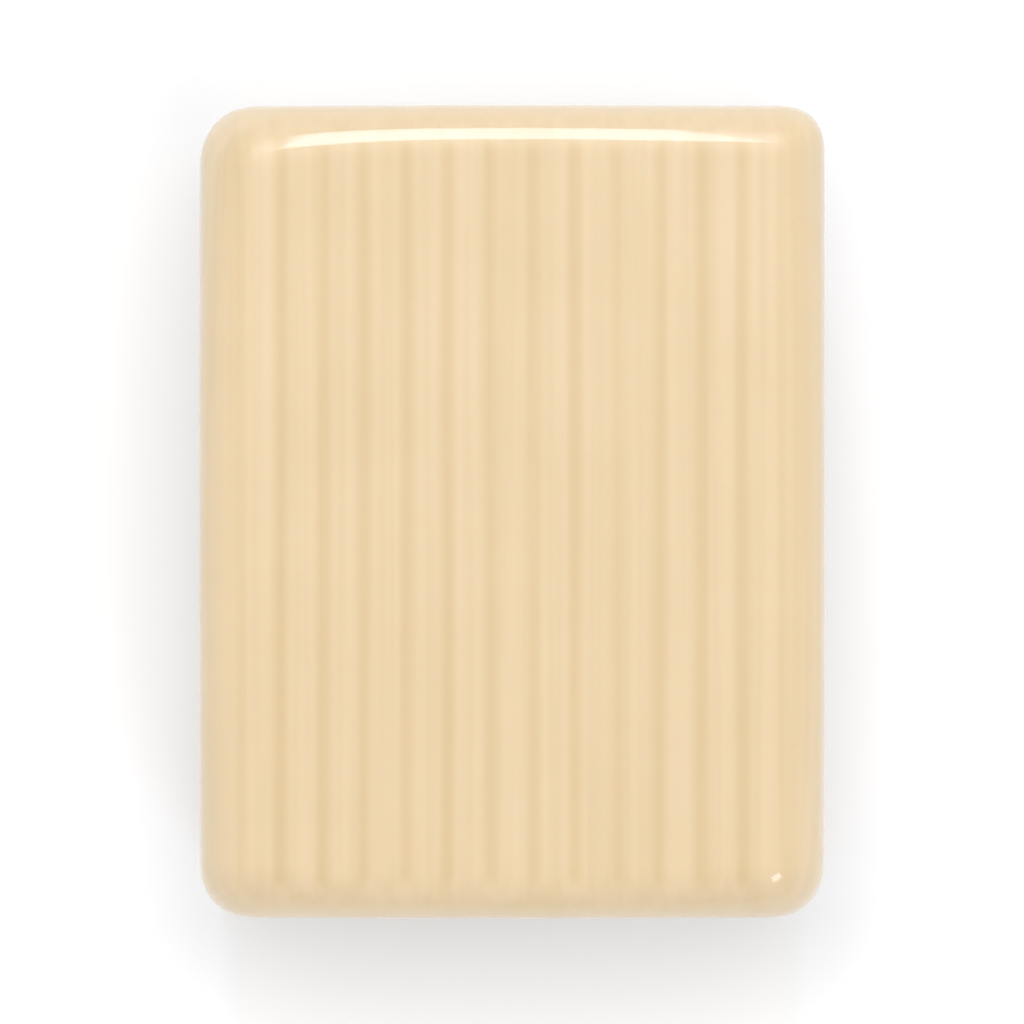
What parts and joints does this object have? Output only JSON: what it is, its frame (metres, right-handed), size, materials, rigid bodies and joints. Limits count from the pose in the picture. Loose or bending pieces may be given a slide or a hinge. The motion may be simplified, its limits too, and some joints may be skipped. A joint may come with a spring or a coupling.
{
  "type": "mahjong tile",
  "caption": "Mahjong tile of cream translucent resin over a ribbed ivory face block, with rounded edges and an engraved, enamelled circle-suit face.",
  "frame": {"origin": "middle of the tile's face, on the surface that the tile lies on, face down", "axes": "+X across the ribs, +Y along them towards the mark's upper row, +Z from the face to the back"},
  "size_m": [0.02, 0.026, 0.016],
  "materials": {
    "face_resin": "polished ivory-white resin, opaque",
    "back_resin": "polished translucent cream resin, high gloss, ribs showing through",
    "enamel_blue": "gloss enamel filled into the cuts",
    "enamel_red": "gloss enamel filled into the cuts",
    "enamel_green": "gloss enamel filled into the cuts"
  },
  "bodies": {
    "root": {"face_block": "face_resin", "back_shell": "back_resin", "upper_left_ring": "enamel_blue", "upper_centre_ring": "enamel_blue", "upper_right_ring": "enamel_blue", "middle_left_ring": "enamel_red", "middle_centre_ring": "enamel_red", "middle_right_ring": "enamel_red", "lower_left_ring": "enamel_green", "lower_centre_ring": "enamel_green", "lower_right_ring": "enamel_green", "upper_left_petals": "enamel_blue", "upper_centre_petals": "enamel_blue", "upper_right_petals": "enamel_blue", "middle_left_petals": "enamel_red", "middle_centre_petals": "enamel_red", "middle_right_petals": "enamel_red", "lower_left_petals": "enamel_green", "lower_centre_petals": "enamel_green", "lower_right_petals": "enamel_green", "upper_left_eye": "enamel_red", "upper_centre_eye": "enamel_red", "upper_right_eye": "enamel_red", "middle_left_eye": "enamel_red", "middle_centre_eye": "enamel_red", "middle_right_eye": "enamel_red", "lower_left_eye": "enamel_red", "lower_centre_eye": "enamel_red", "lower_right_eye": "enamel_red"}
  },
  "joints": []
}
